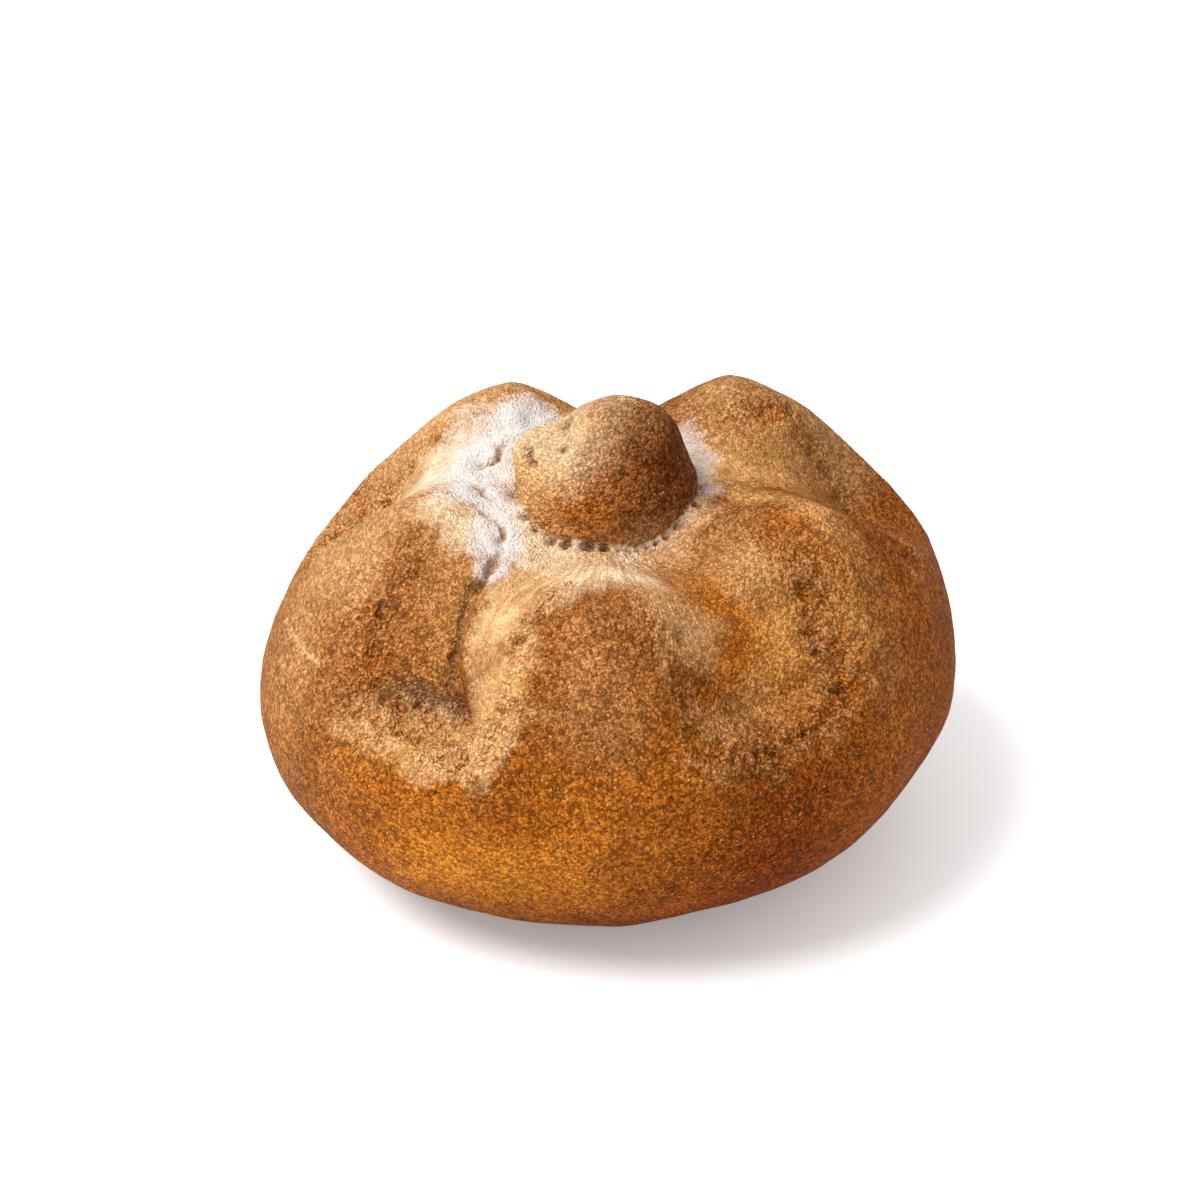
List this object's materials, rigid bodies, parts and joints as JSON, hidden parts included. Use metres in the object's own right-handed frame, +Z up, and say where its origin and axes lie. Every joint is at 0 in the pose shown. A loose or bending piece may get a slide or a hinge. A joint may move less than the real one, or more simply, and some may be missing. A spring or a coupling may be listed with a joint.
{
  "type": "bread roll",
  "caption": "Round crusty bread roll, a dome with finger dents round a knob of dough on top, resting on a flat spot underneath.",
  "frame": {"origin": "middle of the flat spot that the roll rests on, under the middle of its outline", "axes": "+Z up through the knob, -Y towards the front, where the deep dent is left of the middle and the shallow one right of it"},
  "size_m": [0.1056, 0.101, 0.0723],
  "materials": {
    "crust": "baked golden-brown bread crust, matt, with a floured patch round the knob"
  },
  "bodies": {
    "root": {"bread_roll": "crust"}
  },
  "joints": []
}
